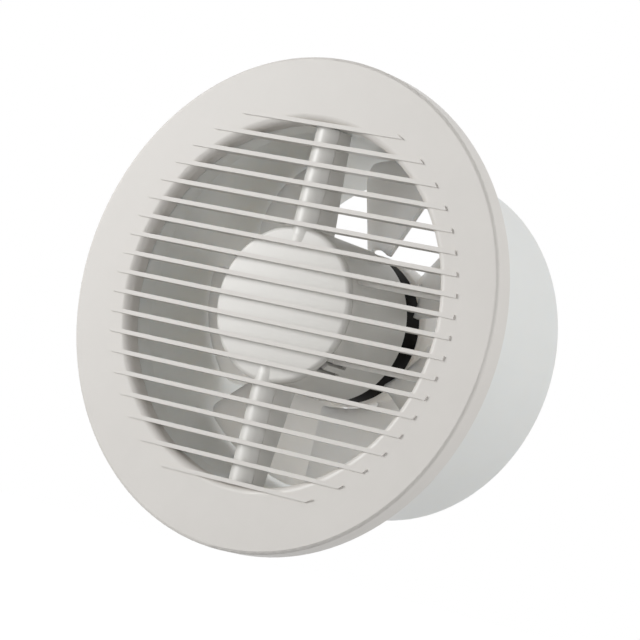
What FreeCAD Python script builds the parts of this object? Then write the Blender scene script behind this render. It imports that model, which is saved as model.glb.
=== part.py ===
import FreeCAD, Part
import math
import os
from types import SimpleNamespace

import Sketcher

# A round axial bathroom fan for a 150 mm duct. The origin is where the fan axis meets the wall plane.
# The axis runs along Y: the face looks towards -Y, the spigot goes into the wall along +Y, and Z is up.

# Driving dimensions in millimetres. Names that end in angle are degrees, and in count or share plain numbers.
SIZES = {
    # Cuts run past the solid by this much
    "overrun": 1.0,
    # Seam between two mouldings that close on each other
    "seam_gap": 0.25,
    # Loose fit of one moulding inside another
    "fit_gap": 0.3,
    # Front cover: face plate, skirt, rolled opening
    "cover_depth": 10.0,
    "face_wall": 2.0,
    "skirt_wall": 1.9,
    "rim_round": 1.2,
    "lip_round": 3.2,
    "collar_gap": 0.2,
    "mouth_step": 1.0,
    "mouth_depth": 5.0,
    "wall_gap": 0.3,
    # Front cover: slats
    "slat_count": 19,
    "slat_margin": 0.5,
    "slat_thickness": 1.7,
    "slat_depth": 7.2,
    "slat_proud": 0.7,
    "slat_lap": 8.7,
    "slat_relieved_depth": 2.0,
    "slat_relief_gap": 1.5,
    # Duct housing: spigot, flange, inlet
    "spigot_radius": 74.0,
    "spigot_wall": 1.6,
    "spigot_length": 85.5,
    "flange_width": 23.6,
    "flange_wall": 2.2,
    "flange_rim_wall": 1.8,
    "flange_rim_gap": 0.4,
    "cover_clearance": 0.5,
    "wall_screw_count": 4,
    "wall_screw_angle": 45.0,
    "wall_screw_hole_radius": 2.25,
    "cable_hole_radius": 5.0,
    "cable_notch_width": 8.0,
    "cable_notch_depth": 0.7,
    # Motor carrier: cup, divider, arms
    "cup_radius": 32.1,
    "cup_wall": 1.8,
    "cup_tail": 3.1,
    "divider_wall": 2.0,
    "arm_width": 11.4,
    "arm_wall": 1.5,
    "arm_proud": 3.9,
    "arm_depth": 13.4,
    "arm_tip_depth": 7.65,
    "arm_count": 2,
    "foot_length": 8.0,
    "foot_depth": 2.85,
    "foot_gap": 0.2,
    # Motor carrier: rails beside the cup
    "rail_upper_height": 15.7,
    "rail_lower_height": 16.75,
    "rail_thickness": 3.5,
    "rail_depth": 2.5,
    "rail_set_back": 3.4,
    # Motor carrier: latch tongue cut out of the cup wall
    "latch_count": 2,
    "latch_angle": -40.0,
    "latch_length": 14.5,
    "latch_width": 5.9,
    "latch_slot": 1.6,
    "latch_end_slot": 2.4,
    # Hub cap: dome and arm lids
    "dome_step": 0.1,
    "dome_gap": 0.6,
    "dome_edge_round": 2.2,
    "dome_crown": 0.7,
    "dome_flat": 1.5,
    "cap_wall": 1.6,
    "cap_skirt_depth": 3.0,
    "lid_gap": 0.6,
    "lid_side": 0.3,
    "lid_fade": 10.0,
    # Screws of the arm feet
    "foot_screw_radius": 1.0,
    "foot_screw_head_radius": 2.1,
    "foot_screw_head_depth": 1.1,
    "foot_screw_length": 7.5,
    "foot_screw_sink": 0.1,
    "foot_screw_gap": 0.15,
    # Motor: stator stack
    "stator_gap": 0.9,
    "stator_ring_width": 5.0,
    "stack_length": 15.0,
    "pole_count": 4,
    "pole_width": 9.0,
    "pole_length": 7.4,
    "shoe_slope": 2.0,
    "shoe_wall": 1.8,
    "shoe_corner_gap": 5.0,
    "shade_slot_width": 1.3,
    "shaded_width": 2.9,
    # Motor: shading rings
    "shade_ring_width": 1.0,
    "shade_ring_thickness": 1.2,
    "shade_ring_drop": 0.2,
    "shade_gap": 0.12,
    # Motor: bobbins and windings
    "bobbin_seat_gap": 0.3,
    "bobbin_yoke_gap": 2.3,
    "bobbin_wall": 0.8,
    "bobbin_gap": 0.2,
    "winding_thickness": 2.5,
    "winding_gap": 0.1,
    "bobbin_lip": 0.4,
    # Motor: bearing brackets
    "bracket_wall": 1.5,
    "bracket_step": 1.0,
    "bracket_stand_off": 4.5,
    "bracket_boss_radius": 6.2,
    "bracket_boss_front": 1.6,
    "bracket_boss_rear": 2.5,
    "bracket_web_radius": 9.0,
    "bracket_rim_width": 5.9,
    "bracket_window_width": 13.0,
    "post_radius": 2.2,
    "motor_screw_inset": 3.0,
    "motor_screw_radius": 1.5,
    "motor_screw_gap": 0.2,
    "motor_screw_head_radius": 2.2,
    "motor_screw_head_depth": 1.9,
    "motor_screw_angle": 45.0,
    "damper_radius": 3.2,
    "damper_thickness": 2.0,
    # Motor: bearings, shaft and rotor
    "bearing_radius": 4.4,
    "bearing_length": 5.0,
    "bearing_gap": 0.05,
    "shaft_radius": 2.5,
    "running_gap": 0.03,
    "shaft_end_gap": 0.7,
    "shaft_tail": 0.6,
    "air_gap": 0.35,
    "end_ring_length": 2.4,
    "end_ring_width": 4.8,
    "end_ring_step": 0.4,
    "spacer_radius": 4.0,
    "spacer_gap": 0.2,
    # Motor shield behind the cup
    "shield_step": 1.1,
    "shield_room": 4.6,
    "shield_wall": 2.0,
    "shield_skirt_wall": 1.0,
    "shield_spigot_depth": 2.0,
    "shield_hole_radius": 4.0,
    # Impeller
    "hub_step": 0.1,
    "hub_front_gap": 1.6,
    "hub_length": 13.9,
    "hub_wall": 2.0,
    "hub_round": 2.0,
    "hub_boss_radius": 5.5,
    "hub_boss_sink": 2.0,
    "hub_rib_count": 7,
    "hub_rib_wall": 1.5,
    "hub_rib_depth": 9.0,
    "blade_count": 7,
    "blade_half_angle": 21.0,
    "blade_lead": 10.1,
    "blade_depth": 21.0,
    "blade_thickness": 2.6,
    "blade_camber_radius": 110.0,
    "blade_root_gap": 1.9,
    "blade_tip_gap": 1.8,
    "blade_neck_angle": 11.0,
    "blade_root_round": 1.2,
    "blade_lead_round": 4.5,
    "blade_trail_round": 8.0,
    "blade_neck_round": 0.9,
    "blade_rest_angle": 3.6,
    # Nut on the shaft end
    "nut_width": 8.0,
    "nut_length": 3.2,
    "nut_gap": 0.2,
    # Terminal block under the hub cap
    "block_length": 24.0,
    "block_height": 12.0,
    "block_depth": 9.5,
    "block_step": 3.0,
    "pole_pitch": 7.0,
    "wire_hole_radius": 1.6,
    "terminal_screw_radius": 1.7,
    "terminal_screw_length": 5.0,
    "terminal_screw_sink": 0.6,
    "block_screw_offset": 3.5,
    "block_screw_radius": 1.2,
    "block_screw_head_radius": 2.0,
    "block_screw_head_depth": 1.3,
    "block_screw_length": 9.5,
    "screw_gap": 0.15,
    # Leads from the windings to the terminal block
    "lead_radius": 0.8,
    "lead_spacing": 7.0,
    "lead_turn": 4.5,
    "lead_hole_gap": 0.5,
    "lead_level": 3.2,
    # Grommet in the cable hole of the flange
    "grommet_lip": 1.6,
    "grommet_lip_wall": 1.2,
    "grommet_bore": 3.0,
    "grommet_gap": 0.15,
}

doc = FreeCAD.newDocument("bathroom_exhaust_fan")
sheet = doc.addObject("Spreadsheet::Sheet", "Sizes")
for row, (name, number) in enumerate(SIZES.items(), start=1):
    sheet.set(f"A{row}", name)
    sheet.set(f"B{row}", str(number))
    sheet.setAlias(f"B{row}", name)
doc.recompute()


class Size:
    """A length: its number, and the formula that ties it to the sheet."""

    def __init__(self, number, formula):
        self.number = float(number)
        self.formula = formula

    @staticmethod
    def of(value):
        return value if isinstance(value, Size) else Size(value, f"({float(value)!r})")

    def __add__(self, other):
        other = Size.of(other)
        return Size(self.number + other.number, f"({self.formula} + {other.formula})")

    def __sub__(self, other):
        other = Size.of(other)
        return Size(self.number - other.number, f"({self.formula} - {other.formula})")

    def __mul__(self, other):
        other = Size.of(other)
        return Size(self.number * other.number, f"({self.formula} * {other.formula})")

    def __truediv__(self, other):
        other = Size.of(other)
        return Size(self.number / other.number, f"({self.formula} / {other.formula})")

    def __neg__(self):
        return Size(-self.number, f"(0 - {self.formula})")

    def sine(self):
        return Size(math.sin(math.radians(self.number)), f"sin({self.formula})")

    def cosine(self):
        return Size(math.cos(math.radians(self.number)), f"cos({self.formula})")

    def tangent(self):
        return Size(math.tan(math.radians(self.number)), f"tan({self.formula})")

    def root(self):
        return Size(math.sqrt(self.number), f"sqrt({self.formula})")


d = SimpleNamespace(**{name: Size(getattr(sheet, name), f"Sizes.{name}") for name in SIZES})


# Sketch and feature helpers

# Which way each origin plane's sketch normal points, and the sketch axis that lies along the fan axis
PLANE_SIGN = {"XY_Plane": 1, "XZ_Plane": -1, "YZ_Plane": 1}
PLANE_TURN = {"XY_Plane": (0, -1, 0), "XZ_Plane": (0, 0, 1), "YZ_Plane": (-1, 0, 0)}


def bind(item, prop, size):
    """Set a property and tie it to the sheet."""
    setattr(item, prop, size.number)
    item.setExpression(prop, size.formula)


def new_body(name):
    body = doc.addObject("PartDesign::Body", name)
    body.Label = name
    body.AllowCompound = True
    return body


def origin_of(body, role):
    return next(item for item in body.Origin.OriginFeatures if item.Role == role)


def sketch_on(body, name, plane, at=None, turn=None):
    """A sketch on an origin plane, moved along that plane's axis to at, or turned about the fan axis."""
    sketch = body.newObject("Sketcher::SketchObject", name)
    sketch.AttachmentSupport = [(origin_of(body, plane), "")]
    sketch.MapMode = "FlatFace"
    lift = at * PLANE_SIGN[plane] if at is not None else None
    angle = turn.number if turn is not None else 0
    base = FreeCAD.Vector(0, 0, lift.number if lift is not None else 0)
    rotation = FreeCAD.Rotation(FreeCAD.Vector(*PLANE_TURN[plane]), angle)
    sketch.AttachmentOffset = FreeCAD.Placement(base, rotation)
    if lift is not None:
        sketch.setExpression("AttachmentOffset.Base.z", lift.formula)
    if turn is not None:
        sketch.setExpression("AttachmentOffset.Rotation.Angle", turn.formula)
    return sketch


def place(sketch, limits, geometry, vertex, point):
    """Hold one vertex of a sketch at a point, on an axis where a coordinate is zero."""
    for axis, (kind, value) in zip((-2, -1), zip(("DistanceX", "DistanceY"), point[:2])):
        if isinstance(value, Size):
            limits.append((Sketcher.Constraint(kind, geometry, vertex, value.number), value))
        else:
            limits.append((Sketcher.Constraint("PointOnObject", geometry, vertex, axis), None))


def hold(sketch, limits):
    """Add constraints, each tied to its formula where it has one."""
    first = sketch.ConstraintCount
    sketch.addConstraint([limit for limit, size in limits])
    for index, (limit, size) in enumerate(limits, start=first):
        if size is not None:
            sketch.setExpression(f"Constraints[{index}]", size.formula)


def flat(point):
    return FreeCAD.Vector(*(value.number if isinstance(value, Size) else value for value in point[:2]), 0)


def curve_between(start, end, bend):
    """An arc of the given radius, turning left from start to end, or right if the radius is negative."""
    radius = abs(bend)
    chord = end - start
    left = FreeCAD.Vector(-chord.y, chord.x, 0).normalize()
    rise = math.sqrt(max(radius ** 2 - (chord.Length / 2) ** 2, 0))
    centre = (start + end) / 2 + left * rise * math.copysign(1, bend)
    first, last = (start, end) if bend > 0 else (end, start)
    angles = [math.atan2(spot.y - centre.y, spot.x - centre.x) for spot in (first, last)]
    return Part.ArcOfCircle(Part.Circle(centre, FreeCAD.Vector(0, 0, 1), radius), *angles)


def outline(sketch, points):
    """A closed outline. A point (x, y, bend) starts an arc of that radius to the next point."""
    base = sketch.GeometryCount
    spots = [flat(point) for point in points]
    ends = []
    limits = []
    for index, point in enumerate(points):
        start, end = spots[index], spots[(index + 1) % len(points)]
        bend = point[2] if len(point) > 2 else None
        if bend is None:
            sketch.addGeometry(Part.LineSegment(start, end), False)
            ends.append((1, 2))
            continue
        sketch.addGeometry(curve_between(start, end, bend.number), False)
        ends.append((1, 2) if bend.number > 0 else (2, 1))
        radius = bend if bend.number > 0 else -bend
        limits.append((Sketcher.Constraint("Radius", base + index, radius.number), radius))
    for index, point in enumerate(points):
        after = (index + 1) % len(points)
        joint = Sketcher.Constraint("Coincident", base + index, ends[index][1], base + after, ends[after][0])
        limits.append((joint, None))
        place(sketch, limits, base + index, ends[index][0], point)
    hold(sketch, limits)
    return sketch


def circle(sketch, radius, centre=(0, 0)):
    index = sketch.GeometryCount
    shape = Part.Circle(flat(centre), FreeCAD.Vector(0, 0, 1), radius.number)
    sketch.addGeometry(shape, False)
    limits = [(Sketcher.Constraint("Radius", index, radius.number), radius)]
    place(sketch, limits, index, 3, centre)
    hold(sketch, limits)
    return sketch


def axis_line(sketch, start, end):
    """A construction line that a profile turns about."""
    index = sketch.GeometryCount
    sketch.addGeometry(Part.LineSegment(flat(start), flat(end)), True)
    limits = []
    place(sketch, limits, index, 1, start)
    place(sketch, limits, index, 2, end)
    hold(sketch, limits)
    return sketch


def box(left, right, low, high):
    return [(left, low), (right, low), (right, high), (left, high)]


def polar(radius, angle):
    """A point on the face of the fan, by radius and angle from straight up towards +X."""
    return (radius * angle.sine(), radius * angle.cosine())


def pad(body, name, sketch, length, reverse=False):
    feature = body.newObject("PartDesign::Pad", name)
    feature.Profile = sketch
    feature.Reversed = reverse
    bind(feature, "Length", length)
    doc.recompute()
    return feature


def turned(body, name, sketch, axis="V_Axis"):
    feature = body.newObject("PartDesign::Revolution", name)
    feature.Profile = sketch
    feature.ReferenceAxis = (sketch, [axis])
    feature.Angle = 360
    doc.recompute()
    return feature


def check_cut(feature):
    if feature.Shape.Volume >= feature.BaseFeature.Shape.Volume:
        raise RuntimeError(f"{feature.Label} removes nothing")


def pocket(body, name, sketch, length, reverse=False):
    feature = body.newObject("PartDesign::Pocket", name)
    feature.Profile = sketch
    feature.Reversed = reverse
    bind(feature, "Length", length)
    doc.recompute()
    check_cut(feature)
    return feature


def groove(body, name, sketch, axis="V_Axis"):
    feature = body.newObject("PartDesign::Groove", name)
    feature.Profile = sketch
    feature.ReferenceAxis = (sketch, [axis])
    feature.Angle = 360
    doc.recompute()
    check_cut(feature)
    return feature


def around(body, name, features, count):
    """Repeat features round the fan axis."""
    pattern = body.newObject("PartDesign::PolarPattern", name)
    pattern.Originals = features
    pattern.Axis = (origin_of(body, "Y_Axis"), [""])
    pattern.Angle = 360
    pattern.Occurrences = round(count.number)
    pattern.setExpression("Occurrences", count.formula)
    body.Tip = pattern
    doc.recompute()
    return pattern


def along(body, name, features, axis, length, count):
    """Repeat features along an axis of the body, over a length."""
    pattern = body.newObject("PartDesign::LinearPattern", name)
    pattern.Originals = features
    pattern.Direction = (origin_of(body, axis), [""])
    bind(pattern, "Length", length)
    pattern.Occurrences = round(count.number)
    pattern.setExpression("Occurrences", count.formula)
    body.Tip = pattern
    doc.recompute()
    return pattern


def ring(name, inner, outer, front, rear):
    """A plain ring or sleeve on the fan axis."""
    body = new_body(name)
    section = sketch_on(body, name + "_section", "XY_Plane")
    outline(section, box(inner, outer, front, rear))
    turned(body, name + "_turn", section)
    return body


# Places that several pieces share: radii from the spigot out to the face
tube_inner = d.spigot_radius - d.spigot_wall
opening_radius = tube_inner + d.mouth_step
flange_edge = d.spigot_radius + d.flange_width
skirt_inner = flange_edge + d.cover_clearance
face_radius = skirt_inner + d.skirt_wall
flange_middle = d.spigot_radius + d.flange_width / 2
slat_reach = opening_radius + d.slat_lap
arm_end = tube_inner - d.foot_gap
blade_tip_radius = tube_inner - d.blade_tip_gap

# Radii of the motor, from the cup inwards
arm_half = d.arm_width / 2
channel_half = arm_half - d.arm_wall
cup_inner = d.cup_radius - d.cup_wall
dome_radius = d.cup_radius - d.dome_step
stator_radius = cup_inner - d.stator_gap
yoke_inner = stator_radius - d.stator_ring_width
shoe_top = yoke_inner - d.pole_length
shoe_shoulder = shoe_top - d.shoe_slope
shoe_half_width = shoe_shoulder - d.shoe_corner_gap
bore_radius = shoe_shoulder - d.shoe_wall
bobbin_inner = shoe_top + d.bobbin_seat_gap
bobbin_outer = yoke_inner - d.bobbin_yoke_gap
bracket_radius = stator_radius - d.bracket_step
motor_screw_circle = stator_radius - d.motor_screw_inset
screw_hole_radius = d.motor_screw_radius + d.motor_screw_gap
hub_radius = d.cup_radius - d.hub_step
blade_root_radius = hub_radius + d.blade_root_gap
lead_side = d.lead_spacing / 2
lead_height = -(bobbin_inner + bobbin_outer) / 2
lead_hole_radius = d.lead_radius + d.lead_hole_gap

# Levels from the front of the slats to the wall plane
cover_front = -d.cover_depth
face_plane = cover_front + d.slat_proud
plate_back = face_plane + d.face_wall
collar_back = -d.flange_wall - d.collar_gap
slat_back = cover_front + d.slat_depth
relieved_back = cover_front + d.slat_relieved_depth
dome_apex = relieved_back + d.dome_gap
dome_rim = dome_apex + d.dome_crown + d.dome_edge_round
lid_front = relieved_back + d.lid_gap
cup_front = dome_rim + d.seam_gap

# Levels from the wall plane back through the motor to the end of the shaft
arm_front = -d.arm_proud
arm_rear = arm_front + d.arm_depth
arm_tip_rear = arm_front + d.arm_tip_depth
divider_front = arm_rear - d.arm_wall
divider_rear = divider_front + d.divider_wall
foot_screw_level = arm_tip_rear - d.foot_depth / 2
block_front = divider_front - d.block_depth
front_plate_front = divider_rear + d.damper_thickness
front_plate_rear = front_plate_front + d.bracket_wall
front_boss_front = front_plate_front - d.bracket_boss_front
front_boss_rear = front_plate_rear + d.bracket_boss_rear
stack_front = front_plate_rear + d.bracket_stand_off
stack_rear = stack_front + d.stack_length
rear_plate_front = stack_rear + d.bracket_stand_off
rear_plate_rear = rear_plate_front + d.bracket_wall
rear_boss_front = rear_plate_front - d.bracket_boss_rear
rear_boss_rear = rear_plate_rear + d.bracket_boss_front
screw_head_rear = rear_plate_rear + d.motor_screw_head_depth
cup_rear = stack_rear + d.cup_tail
shield_rear = screw_head_rear + d.shield_room + d.shield_wall
hub_front = shield_rear + d.hub_front_gap
hub_rear = hub_front + d.hub_length
hub_boss_rear = hub_rear - d.hub_boss_sink
nut_front = hub_boss_rear + d.nut_gap
nut_rear = nut_front + d.nut_length
shaft_front = divider_rear + d.shaft_end_gap
shaft_rear = nut_rear + d.shaft_tail
blade_front = hub_front - d.blade_lead
blade_rear = blade_front + d.blade_depth


def front_cover():
    """Face plate with skirt, rolled opening and slats: one moulding."""
    body = new_body("front_cover")
    # One slat, repeated up the face
    half_row = opening_radius - d.slat_margin
    half_slat = d.slat_thickness / 2
    slat_end = slat_reach + d.overrun
    bar = sketch_on(body, "slat_sketch", "XZ_Plane", at=slat_back)
    outline(bar, box(-slat_end, slat_end, -half_row - half_slat, -half_row + half_slat))
    slat = pad(body, "slat", bar, d.slat_depth)
    along(body, "slat_row", [slat], "Z_Axis", half_row * 2, d.slat_count)
    # The slats end on a circle over the plate
    ends = sketch_on(body, "slat_ends_sketch", "XZ_Plane", at=cover_front - d.overrun)
    circle(circle(ends, slat_reach), slat_reach * 2)
    pocket(body, "slat_ends", ends, d.slat_depth + d.overrun * 2)
    # Behind the plate they stop inside the wall of the rolled opening
    half_wall = d.face_wall / 2
    lip_start = opening_radius + d.lip_round
    lip_level = face_plane + d.lip_round
    backs = sketch_on(body, "slat_backs_sketch", "XY_Plane")
    outline(backs, [
        (lip_start, face_plane + half_wall),
        (slat_end, face_plane + half_wall),
        (slat_end, slat_back + d.overrun),
        (opening_radius + half_wall, slat_back + d.overrun),
        (opening_radius + half_wall, lip_level, d.lip_round - half_wall),
    ])
    groove(body, "slat_backs", backs)
    # They are shallow over the hub cap and its arm lids
    relief = d.slat_depth - d.slat_relieved_depth + d.overrun
    over_dome = sketch_on(body, "dome_relief_sketch", "XZ_Plane", at=slat_back + d.overrun)
    circle(over_dome, dome_radius + d.slat_relief_gap)
    pocket(body, "dome_relief", over_dome, relief, reverse=True)
    over_arms = sketch_on(body, "arm_relief_sketch", "XZ_Plane", at=slat_back + d.overrun)
    side = arm_half + d.slat_relief_gap
    row_end = opening_radius + d.overrun * 2
    outline(over_arms, box(-side, side, -row_end, row_end))
    pocket(body, "arm_relief", over_arms, relief, reverse=True)
    # Plate, skirt and rolled opening
    shell = sketch_on(body, "shell_sketch", "XY_Plane")
    outline(shell, [
        (opening_radius, collar_back),
        (opening_radius + d.face_wall, collar_back),
        (opening_radius + d.face_wall, lip_level, d.lip_round - d.face_wall),
        (lip_start, plate_back),
        (skirt_inner, plate_back),
        (skirt_inner, -d.wall_gap),
        (face_radius, -d.wall_gap),
        (face_radius, face_plane + d.rim_round, -d.rim_round),
        (face_radius - d.rim_round, face_plane),
        (lip_start, face_plane, -d.lip_round),
        (opening_radius, lip_level),
    ])
    turned(body, "shell", shell)
    return body


def duct_housing():
    """Wall flange with its rim, and the duct spigot with its tapered mouth: one moulding."""
    body = new_body("duct_housing")
    section = sketch_on(body, "housing_section", "XY_Plane")
    outline(section, [
        (tube_inner, d.spigot_length),
        (tube_inner, d.mouth_depth),
        (opening_radius, -d.flange_wall),
        (flange_edge - d.flange_rim_wall, -d.flange_wall),
        (flange_edge - d.flange_rim_wall, plate_back + d.flange_rim_gap),
        (flange_edge, plate_back + d.flange_rim_gap),
        (flange_edge, 0),
        (d.spigot_radius, 0),
        (d.spigot_radius, d.spigot_length),
    ])
    turned(body, "housing_turn", section)
    # Wall screw holes
    hole_depth = d.flange_wall + d.overrun * 2
    hole = sketch_on(body, "wall_hole_sketch", "XZ_Plane", at=-d.flange_wall - d.overrun)
    circle(hole, d.wall_screw_hole_radius, polar(flange_middle, d.wall_screw_angle))
    wall_hole = pocket(body, "wall_hole", hole, hole_depth)
    around(body, "wall_holes", [wall_hole], d.wall_screw_count)
    # Cable hole in the flange above the upper arm, and the notch that lets the wires into the arm
    entry = sketch_on(body, "cable_hole_sketch", "XZ_Plane", at=-d.flange_wall - d.overrun)
    circle(entry, d.cable_hole_radius, (0, flange_middle))
    pocket(body, "cable_hole", entry, hole_depth)
    notch = sketch_on(body, "cable_notch_sketch", "XY_Plane", at=tube_inner - d.overrun)
    half = d.cable_notch_width / 2
    outline(notch, box(-half, half, -d.flange_wall - d.overrun, d.cable_notch_depth))
    pocket(body, "cable_notch", notch, d.spigot_wall + d.overrun * 2, reverse=True)
    # Countersunk holes for the screws of the arm feet
    for name, turn in (("upper", 90), ("lower", -90)):
        sink = sketch_on(body, name + "_foot_hole_sketch", "XY_Plane", turn=Size.of(turn))
        foot_screw_outline(sink, d.foot_screw_gap, d.spigot_radius, d.foot_screw_length + d.overrun)
        groove(body, name + "_foot_hole", sink, "Axis0")
    return body


def foot_screw_outline(sketch, gap, top, length):
    """Half section of a countersunk screw that enters the spigot along the sketch's X axis."""
    axis_line(sketch, (top - length, foot_screw_level), (top, foot_screw_level))
    shank = foot_screw_level + d.foot_screw_radius + gap
    head = foot_screw_level + d.foot_screw_head_radius + gap
    outline(sketch, [
        (top - length, foot_screw_level),
        (top, foot_screw_level),
        (top, head),
        (top - d.foot_screw_head_depth, shank),
        (top - length, shank),
    ])


def carrier_screws():
    """Countersunk screws that hold the arm feet, just below the surface of the spigot."""
    body = new_body("carrier_screws")
    section = sketch_on(body, "foot_screw_section", "XY_Plane", turn=Size.of(90))
    foot_screw_outline(section, Size.of(0), d.spigot_radius - d.foot_screw_sink, d.foot_screw_length)
    screw = turned(body, "foot_screw", section, "Axis0")
    around(body, "foot_screws", [screw], d.arm_count)
    return body


def motor_carrier():
    """Motor cup with a divider, two hollow arms to the spigot and two rails."""
    body = new_body("motor_carrier")
    wall = sketch_on(body, "cup_section", "XY_Plane")
    outline(wall, [
        (0, divider_front),
        (cup_inner, divider_front),
        (cup_inner, cup_front),
        (d.cup_radius, cup_front),
        (d.cup_radius, cup_rear),
        (cup_inner, cup_rear),
        (cup_inner, divider_rear),
        (0, divider_rear),
    ])
    turned(body, "cup", wall)
    # The cup wall is open to the arm channels and to the lids above them
    mouth = sketch_on(body, "arm_mouth_sketch", "XY_Plane", at=-d.cup_radius - d.overrun)
    lid_half = arm_half + d.seam_gap
    outline(mouth, [
        (-lid_half, cup_front - d.overrun),
        (lid_half, cup_front - d.overrun),
        (lid_half, arm_front),
        (channel_half, arm_front),
        (channel_half, divider_front),
        (-channel_half, divider_front),
        (-channel_half, arm_front),
        (-lid_half, arm_front),
    ])
    pocket(body, "arm_mouths", mouth, (d.cup_radius + d.overrun) * 2, reverse=True)
    # Arms, less deep towards the spigot, each with a channel that is open to the front
    arm_start = (cup_inner + d.cup_radius) / 2
    profile = sketch_on(body, "arm_sketch", "YZ_Plane", at=-arm_half)
    outline(profile, [
        (arm_front, arm_start),
        (arm_rear, arm_start),
        (arm_tip_rear, d.spigot_radius),
        (arm_front, d.spigot_radius),
    ])
    arm = pad(body, "arm", profile, d.arm_width)
    hollow = sketch_on(body, "channel_sketch", "YZ_Plane", at=channel_half)
    outline(hollow, [
        (arm_front - d.overrun, arm_start),
        (arm_rear - d.arm_wall, arm_start),
        (arm_tip_rear - d.arm_wall, d.spigot_radius),
        (arm_front - d.overrun, d.spigot_radius),
    ])
    channel = pocket(body, "channel", hollow, channel_half * 2)
    # Solid foot at the end of each arm
    block = sketch_on(body, "foot_sketch", "XY_Plane", at=arm_end - d.foot_length)
    outline(block, box(-arm_half, arm_half, arm_tip_rear - d.foot_depth, arm_tip_rear))
    foot = pad(body, "foot", block, d.foot_length + d.foot_gap)
    around(body, "arms", [arm, channel, foot], d.arm_count)
    # Rails from the cup to the spigot on the right
    rails = sketch_on(body, "rail_sketch", "XZ_Plane", at=arm_front + d.rail_set_back + d.rail_depth)
    half_rail = d.rail_thickness / 2
    for height in (d.rail_upper_height, -d.rail_lower_height):
        outline(rails, box(cup_inner / 2, d.spigot_radius, height - half_rail, height + half_rail))
    pad(body, "rails", rails, d.rail_depth)
    # Clear the inside of the cup and fit the ends to the spigot
    chamber = sketch_on(body, "chamber_sketch", "XY_Plane")
    outline(chamber, [
        (0, cup_front - d.overrun),
        (cup_inner, cup_front - d.overrun),
        (cup_inner, divider_front),
        (0, divider_front),
    ])
    groove(body, "chamber", chamber)
    fit = sketch_on(body, "arm_end_sketch", "XY_Plane")
    outline(fit, box(arm_end, d.spigot_radius * 2, arm_front - d.overrun, arm_rear + d.overrun))
    groove(body, "arm_ends", fit)
    # Pilot holes for the screws in the feet
    pilot = sketch_on(body, "pilot_sketch", "XY_Plane", turn=Size.of(90))
    foot_screw_outline(pilot, d.foot_screw_gap, d.spigot_radius, d.foot_screw_length + d.overrun)
    hole = groove(body, "pilot", pilot, "Axis0")
    around(body, "pilots", [hole], d.arm_count)
    # Latch tongues cut out of the cup wall, free at the front
    tongue = sketch_on(body, "latch_sketch", "YZ_Plane", turn=d.latch_angle)
    slot_end = cup_front + d.latch_length
    outer = d.latch_width / 2
    inner = outer - d.latch_slot
    tip = cup_front + d.latch_end_slot
    outline(tongue, [
        (cup_front - d.overrun, -outer),
        (slot_end, -outer),
        (slot_end, -inner),
        (tip, -inner),
        (tip, inner),
        (slot_end, inner),
        (slot_end, outer),
        (cup_front - d.overrun, outer),
    ])
    latch = pocket(body, "latch", tongue, d.cup_radius + d.overrun, reverse=True)
    around(body, "latches", [latch], d.latch_count)
    # Holes in the divider for the motor screws, the leads and the terminal block
    motor_holes = sketch_on(body, "motor_hole_sketch", "XY_Plane", turn=d.motor_screw_angle)
    axis_line(motor_holes, (motor_screw_circle, divider_front), (motor_screw_circle, divider_rear))
    edge = motor_screw_circle + screw_hole_radius
    outline(motor_holes, box(motor_screw_circle, edge, divider_front - d.overrun, divider_rear + d.overrun))
    motor_hole = groove(body, "motor_hole", motor_holes, "Axis0")
    around(body, "motor_holes", [motor_hole], d.pole_count)
    small_holes = sketch_on(body, "small_hole_sketch", "XZ_Plane", at=divider_front - d.overrun)
    for side in (lead_side, -lead_side):
        circle(small_holes, lead_hole_radius, (side, lead_height))
    for side in (d.block_screw_offset, -d.block_screw_offset):
        circle(small_holes, d.block_screw_radius + d.screw_gap, (side, 0))
    pocket(body, "small_holes", small_holes, d.divider_wall + d.overrun * 2)
    return body


def arched(sketch, half, rear, spring, crown):
    """Section of a lid: a low arch on two short sides."""
    rise = spring - crown
    outline(sketch, [
        (-half, rear),
        (-half, spring, (half * half + rise * rise) / (rise * 2)),
        (half, spring),
        (half, rear),
    ])


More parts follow.
